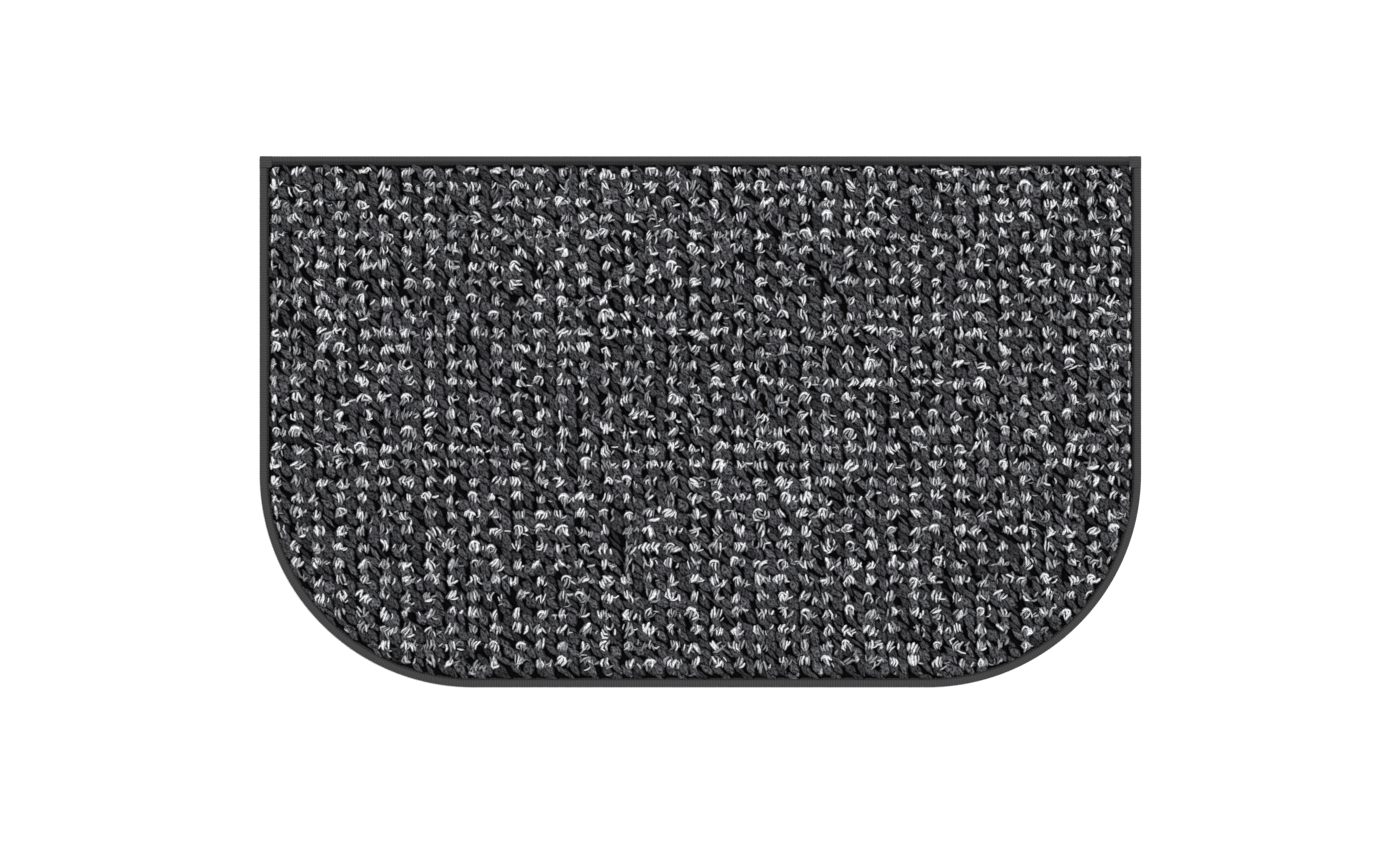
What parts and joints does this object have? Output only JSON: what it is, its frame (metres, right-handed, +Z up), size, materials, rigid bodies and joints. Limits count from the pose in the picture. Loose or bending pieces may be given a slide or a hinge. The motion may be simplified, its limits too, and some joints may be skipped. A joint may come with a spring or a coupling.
{
  "type": "half moon rug",
  "caption": "Flat half moon floor rug of thick looped pile with a straight edge, two rounded corners and a folded fabric binding.",
  "frame": {"origin": "on the floor under the middle of the rug's box", "axes": "+X along the straight edge, +Y towards the straight edge, +Z up out of the pile"},
  "size_m": [0.762, 0.459, 0.009],
  "materials": {
    "loop_pile": "thick looped yarn, charcoal loops with tufts of off-white strands",
    "binding_tape": "plain woven dark grey tape, matt"
  },
  "bodies": {
    "root": {"carpet": "loop_pile", "binding_top": "binding_tape", "binding_side": "binding_tape"}
  },
  "joints": []
}
